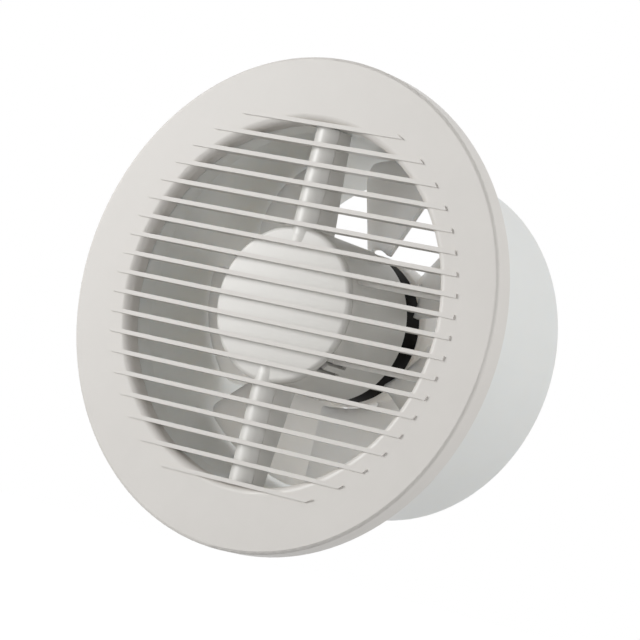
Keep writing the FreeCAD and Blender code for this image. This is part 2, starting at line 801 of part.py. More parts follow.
def hub_cap():
    """Shallow dome with two half-round arm lids: one moulding that closes cup and arms."""
    body = new_body("hub_cap")
    edge = dome_radius - d.dome_edge_round
    shoulder = dome_rim - d.dome_edge_round
    reach = edge - d.dome_flat
    crown_round = (reach * reach + d.dome_crown * d.dome_crown) / (d.dome_crown * 2)
    skirt_outer = cup_inner - d.fit_gap
    dome = sketch_on(body, "dome_section", "XY_Plane")
    outline(dome, [
        (0, dome_apex),
        (d.dome_flat, dome_apex, crown_round),
        (edge, shoulder, d.dome_edge_round),
        (dome_radius, dome_rim),
        (skirt_outer, dome_rim),
        (skirt_outer, dome_rim + d.cap_skirt_depth),
        (skirt_outer - d.cap_wall, dome_rim + d.cap_skirt_depth),
        (skirt_outer - d.cap_wall, dome_apex + d.cap_wall),
        (0, dome_apex + d.cap_wall),
    ])
    turned(body, "dome", dome)
    # Half-round lids that run out to the spigot
    lid_rear = arm_front - d.seam_gap
    spring = lid_rear - d.lid_side
    lid_start = skirt_outer - d.cap_wall
    section = sketch_on(body, "lid_sketch", "XY_Plane", at=lid_start)
    arched(section, arm_half, lid_rear, spring, lid_front)
    lid = pad(body, "lid", section, d.spigot_radius - lid_start)
    # Each lid fades into the dome
    foot = sketch_on(body, "fade_foot_sketch", "XY_Plane", at=lid_start)
    arched(foot, arm_half, lid_rear, spring, lid_front)
    sunk = dome_apex + d.dome_crown
    end = sketch_on(body, "fade_end_sketch", "XY_Plane", at=lid_start - d.lid_fade)
    arched(end, arm_half, sunk + d.cap_wall / 4, sunk + d.cap_wall / 8, sunk)
    fade = body.newObject("PartDesign::AdditiveLoft", "fade")
    fade.Profile = foot
    fade.Sections = [end]
    fade.Ruled = True
    doc.recompute()
    # The lids are hollow, and the hollow runs through the skirt of the dome
    hollow = sketch_on(body, "lid_hollow_sketch", "XY_Plane", at=lid_start - d.overrun)
    arched(hollow, channel_half, lid_rear + d.overrun, spring, lid_front + d.cap_wall)
    inside = pocket(body, "lid_hollow", hollow, d.spigot_radius, reverse=True)
    around(body, "lids", [lid, fade, inside], d.arm_count)
    fit = sketch_on(body, "lid_end_sketch", "XY_Plane")
    outline(fit, box(arm_end, d.spigot_radius * 2, lid_front - d.overrun, lid_rear + d.overrun))
    groove(body, "lid_ends", fit)
    # The skirt leaves the latch slots free
    free = sketch_on(body, "latch_gap_sketch", "YZ_Plane", turn=d.latch_angle)
    side = d.latch_width / 2
    outline(free, box(dome_rim, dome_rim + d.cap_skirt_depth + d.overrun, -side, side))
    gap = pocket(body, "latch_gap", free, dome_radius + d.overrun, reverse=True)
    around(body, "latch_gaps", [gap], d.latch_count)
    return body


def stator_core():
    """Lamination stack with salient poles whose shoes are slotted for shading rings."""
    body = new_body("stator_core")
    length = d.stack_length
    yoke = sketch_on(body, "yoke_sketch", "XZ_Plane", at=stack_rear)
    circle(circle(yoke, stator_radius), yoke_inner)
    pad(body, "yoke", yoke, length)
    half_pole = d.pole_width / 2
    pole_root = (yoke_inner + stator_radius) / 2
    face = bore_radius / 2
    tooth = sketch_on(body, "pole_sketch", "XZ_Plane", at=stack_rear)
    outline(tooth, [
        (-half_pole, pole_root),
        (-half_pole, shoe_top),
        (-shoe_half_width, shoe_shoulder),
        (-shoe_half_width, face),
        (shoe_half_width, face),
        (shoe_half_width, shoe_shoulder),
        (half_pole, shoe_top),
        (half_pole, pole_root),
    ])
    pole = pad(body, "pole", tooth, length)
    slot = sketch_on(body, "shade_slot_sketch", "XZ_Plane", at=stack_front - d.overrun)
    slot_end = shoe_half_width - d.shaded_width
    outline(slot, box(slot_end - d.shade_slot_width, slot_end, face - d.overrun, shoe_shoulder))
    shade_slot = pocket(body, "shade_slot", slot, length + d.overrun * 2)
    around(body, "poles", [pole, shade_slot], d.pole_count)
    bore = sketch_on(body, "bore_sketch", "XZ_Plane", at=stack_front - d.overrun)
    circle(bore, bore_radius)
    pocket(body, "bore", bore, length + d.overrun * 2)
    holes = sketch_on(body, "stack_hole_sketch", "XY_Plane", turn=d.motor_screw_angle)
    axis_line(holes, (motor_screw_circle, stack_front), (motor_screw_circle, stack_rear))
    edge = motor_screw_circle + screw_hole_radius
    outline(holes, box(motor_screw_circle, edge, stack_front - d.overrun, stack_rear + d.overrun))
    hole = groove(body, "stack_hole", holes, "Axis0")
    around(body, "stack_holes", [hole], d.pole_count)
    return body


def shading_rings():
    """Closed copper loops round one tip of each pole shoe."""
    body = new_body("shading_rings")
    left = shoe_half_width - d.shaded_width - (d.shade_slot_width + d.shade_ring_width) / 2
    right = shoe_half_width + d.shade_gap + d.shade_ring_width
    front = stack_front - d.shade_gap - d.shade_ring_width
    rear = stack_rear + d.shade_gap + d.shade_ring_width
    width = d.shade_ring_width
    low = shoe_shoulder - d.shade_ring_drop - d.shade_ring_thickness
    loop = sketch_on(body, "shade_ring_sketch", "XY_Plane", at=low)
    outline(loop, box(left, right, front, rear))
    outline(loop, box(left + width, right - width, front + width, rear - width))
    one = pad(body, "shade_ring", loop, d.shade_ring_thickness)
    around(body, "shade_rings", [one], d.pole_count)
    return body


def coil_section():
    """Half sizes of a bobbin tube round a pole: across the pole and along the stack."""
    half_pole = d.pole_width / 2 + d.bobbin_gap
    half_stack = d.stack_length / 2 + d.bobbin_gap
    return half_pole, half_stack, (stack_rear + stack_front) / 2


def coil_ring(body, name, inset, thickness, bottom, length):
    """A rectangular ring round a pole."""
    half_pole, half_stack, middle = coil_section()
    section = sketch_on(body, name + "_sketch", "XY_Plane", at=bottom)
    for grow in (inset + thickness, inset):
        across = half_pole + grow
        deep = half_stack + grow
        outline(section, box(-across, across, middle - deep, middle + deep))
    return pad(body, name, section, length)


def coil_bobbins():
    """Moulded bobbins with two flanges, one on each pole."""
    body = new_body("coil_bobbins")
    wall = d.bobbin_wall
    flange = wall + d.winding_thickness + d.bobbin_lip
    nothing = Size.of(0)
    tube = coil_ring(body, "bobbin_tube", nothing, wall, bobbin_inner, bobbin_outer - bobbin_inner)
    inner = coil_ring(body, "bobbin_inner_flange", nothing, flange, bobbin_inner, wall)
    outer = coil_ring(body, "bobbin_outer_flange", nothing, flange, bobbin_outer - wall, wall)
    around(body, "bobbins", [tube, inner, outer], d.pole_count)
    return body


def coil_windings():
    """Enamelled wire wound between the bobbin flanges, as one closed block on each."""
    body = new_body("coil_windings")
    bottom = bobbin_inner + d.bobbin_wall + d.winding_gap
    length = bobbin_outer - bobbin_inner - d.bobbin_wall * 2 - d.winding_gap * 2
    inset = d.bobbin_wall + d.winding_gap
    one = coil_ring(body, "winding", inset, d.winding_thickness - d.winding_gap, bottom, length)
    around(body, "windings", [one], d.pole_count)
    return body


def bracket(name, plate_front, plate_rear, boss_front, boss_rear, post_from, post_to):
    """Bearing bracket: a plate with a bearing boss, four windows and four posts to the stack."""
    body = new_body(name)
    bearing_seat = d.bearing_radius + d.bearing_gap
    plate = sketch_on(body, name + "_section", "XY_Plane")
    outline(plate, [
        (bearing_seat, boss_front),
        (d.bracket_boss_radius, boss_front),
        (d.bracket_boss_radius, plate_front),
        (bracket_radius, plate_front),
        (bracket_radius, plate_rear),
        (d.bracket_boss_radius, plate_rear),
        (d.bracket_boss_radius, boss_rear),
        (bearing_seat, boss_rear),
    ])
    turned(body, name + "_plate", plate)
    window = sketch_on(body, name + "_window_sketch", "XZ_Plane", at=plate_front - d.overrun)
    half = d.bracket_window_width / 2
    outline(window, box(-half, half, d.bracket_web_radius, bracket_radius - d.bracket_rim_width))
    opening = pocket(body, name + "_window", window, d.bracket_wall + d.overrun * 2)
    around(body, name + "_windows", [opening], d.pole_count)
    column = sketch_on(body, name + "_post_sketch", "XY_Plane", turn=d.motor_screw_angle)
    axis_line(column, (motor_screw_circle, post_from), (motor_screw_circle, post_to))
    outline(column, box(motor_screw_circle, motor_screw_circle + d.post_radius, post_from, post_to))
    post = turned(body, name + "_post", column, "Axis0")
    drill = sketch_on(body, name + "_hole_sketch", "XY_Plane", turn=d.motor_screw_angle)
    low = min(plate_front, post_from, key=lambda size: size.number) - d.overrun
    high = max(plate_rear, post_to, key=lambda size: size.number) + d.overrun
    axis_line(drill, (motor_screw_circle, low), (motor_screw_circle, high))
    outline(drill, box(motor_screw_circle, motor_screw_circle + screw_hole_radius, low, high))
    hole = groove(body, name + "_hole", drill, "Axis0")
    around(body, name + "_posts", [post, hole], d.pole_count)
    return body


def motor_screws():
    """Long screws that clamp rear bracket, stack, front bracket and dampers to the divider."""
    body = new_body("motor_screws")
    section = sketch_on(body, "motor_screw_section", "XY_Plane", turn=d.motor_screw_angle)
    middle = motor_screw_circle
    axis_line(section, (middle, divider_front), (middle, screw_head_rear))
    outline(section, [
        (middle, divider_front),
        (middle + d.motor_screw_radius, divider_front),
        (middle + d.motor_screw_radius, rear_plate_rear),
        (middle + d.motor_screw_head_radius, rear_plate_rear),
        (middle + d.motor_screw_head_radius, screw_head_rear),
        (middle, screw_head_rear),
    ])
    screw = turned(body, "motor_screw", section, "Axis0")
    around(body, "motor_screw_set", [screw], d.pole_count)
    return body


def motor_dampers():
    """Rubber washers between the divider and the front bracket."""
    body = new_body("motor_dampers")
    section = sketch_on(body, "damper_section", "XY_Plane", turn=d.motor_screw_angle)
    middle = motor_screw_circle
    axis_line(section, (middle, divider_rear), (middle, front_plate_front))
    inner = middle + screw_hole_radius
    outline(section, box(inner, middle + d.damper_radius, divider_rear, front_plate_front))
    damper = turned(body, "damper", section, "Axis0")
    around(body, "dampers", [damper], d.pole_count)
    return body


def motor_shield():
    """Black shield that closes the rear of the cup round the shaft."""
    body = new_body("motor_shield")
    register = cup_inner - d.fit_gap
    shoulder = cup_rear + d.fit_gap
    shield_radius = d.cup_radius - d.shield_step
    inner = register - d.shield_skirt_wall
    section = sketch_on(body, "shield_section", "XY_Plane")
    outline(section, [
        (inner, shoulder - d.shield_spigot_depth),
        (register, shoulder - d.shield_spigot_depth),
        (register, shoulder),
        (shield_radius, shoulder),
        (shield_radius, shield_rear),
        (d.shield_hole_radius, shield_rear),
        (d.shield_hole_radius, shield_rear - d.shield_wall),
        (inner, shield_rear - d.shield_wall),
    ])
    turned(body, "shield_turn", section)
    return body


def shaft():
    """Round steel shaft from the front bearing to the impeller nut."""
    rod = doc.addObject("Part::Cylinder", "shaft")
    rod.Label = "shaft"
    bind(rod, "Radius", d.shaft_radius)
    bind(rod, "Height", shaft_rear - shaft_front)
    rod.Placement = FreeCAD.Placement(
        FreeCAD.Vector(0, shaft_front.number, 0), FreeCAD.Rotation(FreeCAD.Vector(1, 0, 0), -90))
    rod.setExpression("Placement.Base.y", shaft_front.formula)
    return rod


def pair_of_rings(name, inner, outer, sides):
    """Two rings on the shaft as one group."""
    body = new_body(name)
    for label, front, rear in sides:
        section = sketch_on(body, f"{name}_{label}_section", "XY_Plane")
        outline(section, box(inner, outer, front, rear))
        turned(body, f"{name}_{label}", section)
    return body


def impeller():
    """Hub with swept, pitched blades that hang on narrow necks: one moulding."""
    body = new_body("impeller")
    half_angle = d.blade_half_angle
    middle = (blade_front + blade_rear) / 2
    half_step = d.blade_depth / 2
    half_skin = d.blade_thickness / 2
    # A cambered sheet, wider than the blade, lofted from inside the hub to past the tip
    sheets = []
    inside = hub_radius - d.hub_wall
    for label, height in (("root", inside * half_angle.cosine()), ("tip", blade_tip_radius + d.overrun)):
        across = height * half_angle.tangent()
        wide = across + d.overrun
        lead = middle - half_step * wide / across
        trail = middle + half_step * wide / across
        sheet_section = sketch_on(body, f"blade_{label}_sketch", "XY_Plane", at=height)
        outline(sheet_section, [
            (wide, lead + half_skin),
            (wide, lead - half_skin, -d.blade_camber_radius),
            (-wide, trail - half_skin),
            (-wide, trail + half_skin, d.blade_camber_radius),
        ])
        sheets.append(sheet_section)
    sheet_loft = body.newObject("PartDesign::AdditiveLoft", "blade_sheet")
    sheet_loft.Profile = sheets[0]
    sheet_loft.Sections = [sheets[1]]
    sheet_loft.Ruled = True
    doc.recompute()
    # The sheet is trimmed to the blade's outline as seen from the front
    degrees_per_radian = 180 / math.pi
    lead_turn = d.blade_lead_round / blade_tip_radius * degrees_per_radian
    trail_turn = d.blade_trail_round / blade_tip_radius * degrees_per_radian
    root_turn = d.blade_root_round / blade_root_radius * degrees_per_radian
    neck_turn = d.blade_neck_round / blade_root_radius * degrees_per_radian
    neck = d.blade_neck_angle - half_angle
    tip = blade_tip_radius
    root = blade_root_radius
    reach = d.overrun * 4
    trim = sketch_on(body, "blade_outline_sketch", "XZ_Plane", at=blade_front - reach)
    sector = Size.of(180) / d.blade_count
    low = inside * half_angle.cosine() - d.overrun * 2
    high = tip + d.overrun * 4
    outline(trim, [
        (-low * sector.tangent(), low),
        (low * sector.tangent(), low),
        (high * sector.tangent(), high),
        (-high * sector.tangent(), high),
    ])
    outline(trim, [
        polar(root + d.blade_root_round, half_angle),
        polar(tip - d.blade_lead_round, half_angle) + (d.blade_lead_round,),
        polar(tip, half_angle - lead_turn) + (tip,),
        polar(tip, trail_turn - half_angle) + (d.blade_trail_round,),
        polar(tip - d.blade_trail_round, -half_angle),
        polar(inside, -half_angle),
        polar(inside, neck),
        polar(root - d.blade_neck_round, neck) + (-d.blade_neck_round,),
        polar(root, neck + neck_turn) + (-root,),
        polar(root, half_angle - root_turn) + (d.blade_root_round,),
    ])
    trimmed = pocket(body, "blade_outline", trim, d.blade_depth + reach * 2)
    around(body, "blades", [sheet_loft, trimmed], d.blade_count)
    # Hub: a cup open to the rear, with a boss for the shaft
    section = sketch_on(body, "hub_section", "XY_Plane")
    bore = d.shaft_radius + d.running_gap
    outline(section, [
        (bore, hub_front),
        (hub_radius - d.hub_round, hub_front, d.hub_round),
        (hub_radius, hub_front + d.hub_round),
        (hub_radius, hub_rear),
        (inside, hub_rear),
        (inside, hub_front + d.hub_wall),
        (d.hub_boss_radius, hub_front + d.hub_wall),
        (d.hub_boss_radius, hub_boss_rear),
        (bore, hub_boss_rear),
    ])
    turned(body, "hub", section)
    # Ribs from the boss to the hub wall
    rib_sketch = sketch_on(body, "hub_rib_sketch", "XZ_Plane", at=hub_front + d.hub_wall + d.hub_rib_depth)
    half_rib = d.hub_rib_wall / 2
    boss_overlap = (d.hub_boss_radius + d.shaft_radius) / 2
    outline(rib_sketch, box(-half_rib, half_rib, boss_overlap, inside + d.hub_wall / 2))
    rib = pad(body, "hub_rib", rib_sketch, d.hub_rib_depth + d.hub_wall / 2)
    around(body, "hub_ribs", [rib], d.hub_rib_count)
    body.Placement = FreeCAD.Placement(
        FreeCAD.Vector(), FreeCAD.Rotation(FreeCAD.Vector(0, 1, 0), d.blade_rest_angle.number))
    body.setExpression("Placement.Rotation.Angle", d.blade_rest_angle.formula)
    return body


def impeller_nut():
    """Hexagon nut that holds the impeller on the shaft."""
    body = new_body("impeller_nut")
    flats = sketch_on(body, "nut_sketch", "XZ_Plane", at=nut_rear)
    corner = d.nut_width / 2 / Size.of(30).cosine()
    outline(flats, [polar(corner, Size.of(60 * step)) if step % 3 else (0, corner if step == 0 else -corner)
                    for step in range(6)])
    circle(flats, d.shaft_radius + d.running_gap)
    pad(body, "nut", flats, d.nut_length)
    return body


def terminal_block():
    """Screw terminal strip with a stepped body, on the divider."""
    body = new_body("terminal_block")
    half = d.block_length / 2
    low = -d.block_height / 2
    high = d.block_height / 2
    step_front = block_front + d.block_step
    side = sketch_on(body, "block_sketch", "YZ_Plane", at=-half)
    outline(side, [
        (block_front, low + d.block_step),
        (step_front, low),
        (divider_front, low),
        (divider_front, high),
        (step_front, high),
        (block_front, high - d.block_step),
    ])
    pad(body, "block", side, d.block_length)
    # Wire entries from below, screw wells from the front, fixing holes between the poles
    wires = sketch_on(body, "wire_hole_sketch", "XY_Plane", at=low - d.overrun)
    wells = sketch_on(body, "screw_well_sketch", "XZ_Plane", at=block_front - d.overrun)
    fixings = sketch_on(body, "fixing_hole_sketch", "XZ_Plane", at=block_front - d.overrun)
    for centre in (-d.pole_pitch, 0, d.pole_pitch):
        circle(wires, d.wire_hole_radius, (centre, d.lead_level))
        circle(wells, d.terminal_screw_radius + d.screw_gap, (centre, 0))
    for centre in (-d.block_screw_offset, d.block_screw_offset):
        circle(fixings, d.block_screw_radius + d.screw_gap, (centre, 0))
    well_depth = d.terminal_screw_sink + d.terminal_screw_length + d.screw_gap + d.overrun
    pocket(body, "wire_holes", wires, d.block_height / 2 + d.overrun, reverse=True)
    pocket(body, "screw_wells", wells, well_depth)
    pocket(body, "fixing_holes", fixings, d.block_depth + d.overrun * 2)
    return body


def plain_screws(name, spots, front, head_radius, head_depth, radius, length):
    """Screws with a flat head that enter along +Y, their heads starting at front."""
    body = new_body(name)
    heads = sketch_on(body, name + "_head_sketch", "XZ_Plane", at=front)
    shanks = sketch_on(body, name + "_shank_sketch", "XZ_Plane", at=front)
    for spot in spots:
        circle(heads, head_radius, spot)
        circle(shanks, radius, spot)
    pad(body, name + "_heads", heads, head_depth, reverse=True)
    pad(body, name + "_shanks", shanks, head_depth + length, reverse=True)
    return body


def terminal_screws():
    """Clamping screws of the terminals, sunk in their wells."""
    front = block_front + d.terminal_screw_sink
    spots = [(-d.pole_pitch, 0), (0, 0), (d.pole_pitch, 0)]
    body = new_body("terminal_screws")
    shanks = sketch_on(body, "terminal_screw_sketch", "XZ_Plane", at=front)
    for spot in spots:
        circle(shanks, d.terminal_screw_radius, spot)
    pad(body, "terminal_screw_set", shanks, d.terminal_screw_length, reverse=True)
    return body


def block_screws():
    """Screws that hold the terminal block to the divider."""
    spots = [(-d.block_screw_offset, 0), (d.block_screw_offset, 0)]
    front = block_front - d.block_screw_head_depth
    return plain_screws("block_screws", spots, front, d.block_screw_head_radius, d.block_screw_head_depth,
                        d.block_screw_radius, d.block_screw_length)


def motor_leads():
    """Two insulated leads from the lower winding through the divider, then up to the terminal block."""
    body = new_body("motor_leads")
    half_pole, half_stack, middle = coil_section()
    winding_front = middle - half_stack - d.bobbin_wall - d.winding_thickness - d.bobbin_lip
    start = winding_front - d.fit_gap
    bottom = -d.block_height / 2 - d.fit_gap
    for side, centre in (("right", lead_side), ("left", -lead_side)):
        route = sketch_on(body, side + "_lead_route", "YZ_Plane", at=centre)
        path = [
            (start, lead_height),
            (d.lead_level + d.lead_turn, lead_height, -d.lead_turn),
            (d.lead_level, lead_height + d.lead_turn),
            (d.lead_level, bottom),
        ]
        open_path(route, path)
        section = sketch_on(body, side + "_lead_section", "XZ_Plane", at=start)
        circle(section, d.lead_radius, (centre, lead_height))
        lead = body.newObject("PartDesign::AdditivePipe", side + "_lead")
        lead.Profile = section
        lead.Spine = (route, [])
        doc.recompute()
    return body


def open_path(sketch, points):
    """An open path through points; a point (x, y, bend) starts an arc to the next point."""
    spots = [flat(point) for point in points]
    ends = []
    limits = []
    for index, point in enumerate(points[:-1]):
        bend = point[2] if len(point) > 2 else None
        if bend is None:
            sketch.addGeometry(Part.LineSegment(spots[index], spots[index + 1]), False)
            ends.append((1, 2))
            continue
        sketch.addGeometry(curve_between(spots[index], spots[index + 1], bend.number), False)
        ends.append((1, 2) if bend.number > 0 else (2, 1))
        radius = bend if bend.number > 0 else -bend
        limits.append((Sketcher.Constraint("Radius", index, radius.number), radius))
    for index, point in enumerate(points[:-1]):
        place(sketch, limits, index, ends[index][0], point)
        if index + 1 < len(ends):
            joint = Sketcher.Constraint("Coincident", index, ends[index][1], index + 1, ends[index + 1][0])
            limits.append((joint, None))
    place(sketch, limits, len(ends) - 1, ends[-1][1], points[-1])
    hold(sketch, limits)


def cable_grommet():
    """Rubber grommet in the cable hole of the flange, flush with the wall."""
    body = new_body("cable_grommet")
    section = sketch_on(body, "grommet_section", "XY_Plane", at=flange_middle)
    neck = d.cable_hole_radius - d.grommet_gap
    lip = d.cable_hole_radius + d.grommet_lip
    lip_rear = -d.flange_wall - d.grommet_gap
    lip_front = lip_rear - d.grommet_lip_wall
    outline(section, [
        (d.grommet_bore, -d.wall_gap),
        (d.grommet_bore, lip_front),
        (lip, lip_front),
        (lip, lip_rear),
        (neck, lip_rear),
        (neck, -d.wall_gap),
    ])
    turned(body, "grommet", section)
    return body


front_bearing_front = front_boss_rear - d.bearing_length
rear_bearing_rear = rear_boss_front + d.bearing_length
bearing_bore = d.shaft_radius + d.running_gap
end_ring_outer = bore_radius - d.air_gap - d.end_ring_step
spacer_front = front_boss_rear + d.spacer_gap
spacer_rear = rear_boss_front - d.spacer_gap

pieces = [
    front_cover(),
    duct_housing(),
    carrier_screws(),
    cable_grommet(),
    motor_carrier(),
    hub_cap(),
    terminal_block(),
    terminal_screws(),
    block_screws(),
    motor_leads(),
    stator_core(),
    shading_rings(),
    coil_bobbins(),
    coil_windings(),
    bracket("front_bracket", front_plate_front, front_plate_rear, front_boss_front, front_boss_rear,
            front_plate_rear - d.bracket_wall / 2, stack_front),
    bracket("rear_bracket", rear_plate_front, rear_plate_rear, rear_boss_front, rear_boss_rear,
            stack_rear, rear_plate_front + d.bracket_wall / 2),
    ring("front_bearing", bearing_bore, d.bearing_radius, front_bearing_front, front_boss_rear),
    ring("rear_bearing", bearing_bore, d.bearing_radius, rear_boss_front, rear_bearing_rear),
    motor_screws(),
    motor_dampers(),
    motor_shield(),
    shaft(),
    ring("rotor_core", d.shaft_radius, bore_radius - d.air_gap, stack_front, stack_rear),
    pair_of_rings("rotor_end_rings", end_ring_outer - d.end_ring_width, end_ring_outer, [
        ("front", stack_front - d.end_ring_length, stack_front),
        ("rear", stack_rear, stack_rear + d.end_ring_length),
    ]),
    pair_of_rings("thrust_spacers", bearing_bore, d.spacer_radius, [
        ("front", spacer_front, stack_front),
        ("rear", stack_rear, spacer_rear),
    ]),
    impeller(),
    impeller_nut(),
]
doc.recompute()

for item in doc.Objects:
    if "Invalid" in item.State or "Error" in item.State:
        raise RuntimeError(f"{item.Label} failed: {item.State}")
for piece in pieces:
    if piece.Shape.isNull() or not piece.Shape.isValid():
        raise RuntimeError(f"{piece.Label} has no valid shape")

os.makedirs("parts", exist_ok=True)
for piece in pieces:
    piece.Shape.exportStep(f"parts/{piece.Label}.step")
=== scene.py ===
from math import pi, radians

import bpy
from mathutils import Matrix, Vector


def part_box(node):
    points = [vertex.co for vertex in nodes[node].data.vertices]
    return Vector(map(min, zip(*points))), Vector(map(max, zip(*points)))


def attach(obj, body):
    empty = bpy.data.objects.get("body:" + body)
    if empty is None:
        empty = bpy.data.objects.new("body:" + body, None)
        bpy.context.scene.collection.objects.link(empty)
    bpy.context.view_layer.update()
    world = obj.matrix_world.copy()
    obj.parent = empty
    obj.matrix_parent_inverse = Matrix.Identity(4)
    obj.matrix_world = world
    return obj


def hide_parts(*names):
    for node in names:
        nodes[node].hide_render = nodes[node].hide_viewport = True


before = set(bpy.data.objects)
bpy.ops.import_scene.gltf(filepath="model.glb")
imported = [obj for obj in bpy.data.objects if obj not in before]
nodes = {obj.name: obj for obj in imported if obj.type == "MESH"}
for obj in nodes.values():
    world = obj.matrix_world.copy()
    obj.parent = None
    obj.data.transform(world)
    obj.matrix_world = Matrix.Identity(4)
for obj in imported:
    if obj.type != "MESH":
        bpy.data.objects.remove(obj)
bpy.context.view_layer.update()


# The duct housing
# Wall flange, inlet and spigot in one white moulding of glossy styrene. Screws through the flange
# hold it to the wall, and the spigot reaches into the duct.

class Shade:
    """A shader socket on which Python's operators do sums."""

    def __init__(self, tree, socket=None):
        self.tree = tree
        self.socket = socket

    def add(self, kind, sockets=None, out=0, **settings):
        """Add a node, link or set its inputs, and give one of its outputs."""
        node = self.tree.nodes.new(kind)
        for name, value in settings.items():
            setattr(node, name, value)
        for name, value in (sockets or {}).items():
            if isinstance(value, Shade):
                self.tree.links.new(value.socket, node.inputs[name])
            else:
                node.inputs[name].default_value = value
        return Shade(self.tree, node.outputs[out] if len(node.outputs) else None)

    def sum(self, operation, first, second):
        return self.add("ShaderNodeMath", {0: first, 1: second}, operation=operation)

    def __add__(self, other):
        return self.sum("ADD", self, other)

    def __radd__(self, other):
        return self.sum("ADD", other, self)

    def __mul__(self, other):
        return self.sum("MULTIPLY", self, other)


deep_stop = 0.35
pale_stop = 0.65
cloud_scale = 38.0
cloud_share = 0.6
mark_scale = 120.0
mark_share = 0.4
mark_sheen = 0.06
skin_scale = 2600.0
skin_height = 0.0001
plastic_ior = 1.5
plastic_scatter = (1.0, 0.9, 0.8)


def new_finish(name):
    """An empty node material and the object coordinates to build it on."""
    material = bpy.data.materials.new(name)
    material.use_nodes = True
    material.node_tree.nodes.clear()
    tree = Shade(material.node_tree)
    return material, tree, tree.add("ShaderNodeTexCoord", out="Object")


def surface(tree, sockets):
    """Close a material with its surface shader."""
    shader = tree.add("ShaderNodeBsdfPrincipled", sockets)
    tree.add("ShaderNodeOutputMaterial", {"Surface": shader})


def noise(tree, place, scale, detail):
    return tree.add("ShaderNodeTexNoise", {"Vector": place, "Scale": scale, "Detail": detail})


def stretched(tree, place, stretch):
    return tree.add("ShaderNodeMapping", {"Vector": place, "Scale": stretch})


def relief(tree, strength, height, pattern):
    return tree.add("ShaderNodeBump",
                    {"Strength": strength, "Distance": height, "Height": pattern})


def blended(tree, pale, deep, share):
    """A colour between two, by a share that hovers around one half."""
    colour = tree.add("ShaderNodeValToRGB", {"Fac": share})
    first, last = colour.socket.node.color_ramp.elements
    first.position, first.color = deep_stop, deep
    last.position, last.color = pale_stop, pale
    return colour


def moulded(name, pale, deep, roughness, grain=0.06, flow=(1, 1, 1), gloss=0.5, milky=0.0,
            reach=0.003):
    """Moulded plastic: faint clouds, flow marks along the mould, a fine spark-eroded skin.

    Milky is the share of the light that goes into the wall, and reach is how far it gets.
    """
    material, tree, place = new_finish(name)
    cloud = noise(tree, place, cloud_scale, detail=3.0)
    marks = noise(tree, stretched(tree, place, flow), mark_scale, detail=4.0)
    skin = noise(tree, place, skin_scale, detail=1.0)
    surface(tree, {
        "Base Color": blended(tree, pale, deep, cloud * cloud_share + marks * mark_share),
        "Roughness": roughness - mark_sheen / 2 + marks * mark_sheen,
        "Normal": relief(tree, grain, skin_height, skin),
        "IOR": plastic_ior,
        "Specular IOR Level": gloss,
        "Subsurface Weight": milky,
        "Subsurface Radius": plastic_scatter,
        "Subsurface Scale": reach,
    })
    return material


def dress(material, *names):
    """Give every material slot of these solids the finish."""
    for name in names:
        for slot in nodes[name].material_slots:
            slot.material = material


housing_white = moulded("housing_white", (0.77, 0.785, 0.772, 1), (0.76, 0.775, 0.762, 1),
                        roughness=0.35, grain=0.03, flow=(1, 0.15, 1), milky=0.5)
dress(housing_white, "duct_housing")


# The motor carrier
# The motor cup with its hollow arms, rails and latch tongues is one white moulding. The feet of its
# arms sit against the inside of the spigot.

# Painted light: the carrier is given a lighter white than the housing, so the shaded cup and arms
# deep in the tube look lit.
carrier_white = moulded("carrier_white", (0.83, 0.815, 0.785, 1), (0.81, 0.795, 0.765, 1),
                        roughness=0.36)
dress(carrier_white, "motor_carrier")


# The arm screws
# Zinc-plated countersunk screws with a cross recess and a rolled thread. One goes in through the
# wall of the spigot at the foot of each arm.

metal_grain = 0.15
metal_height = 0.00005
metal_sheen = 0.16
facing_limit = 0.5
crease_angle = radians(35)


def metal(name, pale, deep, roughness, scale, stretch=(1, 1, 1)):
    """Bare or plated metal: drawn-out grain in colour, gloss and relief."""
    material, tree, place = new_finish(name)
    grain = noise(tree, stretched(tree, place, stretch), scale, detail=4.0)
    surface(tree, {
        "Base Color": blended(tree, pale, deep, grain),
        "Metallic": 1.0,
        "Roughness": roughness - metal_sheen / 2 + grain * metal_sheen,
        "Normal": relief(tree, metal_grain, metal_height, grain),
    })
    return material


def start(primitive, **sizes):
    """Add a primitive with nothing else selected, and put its place into its mesh."""
    if bpy.context.mode != "OBJECT":
        bpy.ops.object.mode_set(mode="OBJECT")
    bpy.ops.object.select_all(action="DESELECT")
    primitive(**sizes)
    bpy.ops.object.transform_apply(location=True, rotation=True, scale=True)
    return bpy.context.object


def pick(piece, way):
    """Go to edit mode with only those faces selected that look the given way."""
    bpy.context.tool_settings.mesh_select_mode = (False, False, True)
    bpy.ops.object.mode_set(mode="EDIT")
    bpy.ops.mesh.select_all(action="DESELECT")
    bpy.ops.object.mode_set(mode="OBJECT")
    for face in piece.data.polygons:
        face.select = face.normal.dot(Vector(way)) > facing_limit
    bpy.ops.object.mode_set(mode="EDIT")


def draw_out(travel, share, centre):
    """Extrude what is selected and change its width across the way it went."""
    bpy.ops.mesh.extrude_region_move(TRANSFORM_OT_translate={"value": travel})
    across = [share if part == 0 else 1 for part in travel]
    bpy.ops.transform.resize(value=across, center_override=centre)


def carve(piece, cutter, operation="DIFFERENCE"):
    """Cut a piece with another one, which is then gone."""
    bpy.ops.object.mode_set(mode="OBJECT")
    cut = piece.modifiers.new("cut", "BOOLEAN")
    cut.operation = operation
    cut.solver = "EXACT"
    cut.object = cutter
    bpy.context.view_layer.objects.active = piece
    bpy.ops.object.modifier_apply(modifier="cut")
    bpy.data.objects.remove(cutter)


def settle(piece, name, material, body, node):
    """Shade and name a finished piece, and let it stand for its solid."""
    bpy.ops.object.select_all(action="DESELECT")
    piece.select_set(True)
    bpy.context.view_layer.objects.active = piece
    bpy.ops.object.shade_smooth_by_angle(angle=crease_angle)
    piece.name = name
    piece.data.name = name
    piece.data.materials.clear()
    piece.data.materials.append(material)
    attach(piece, body)
    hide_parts(node)


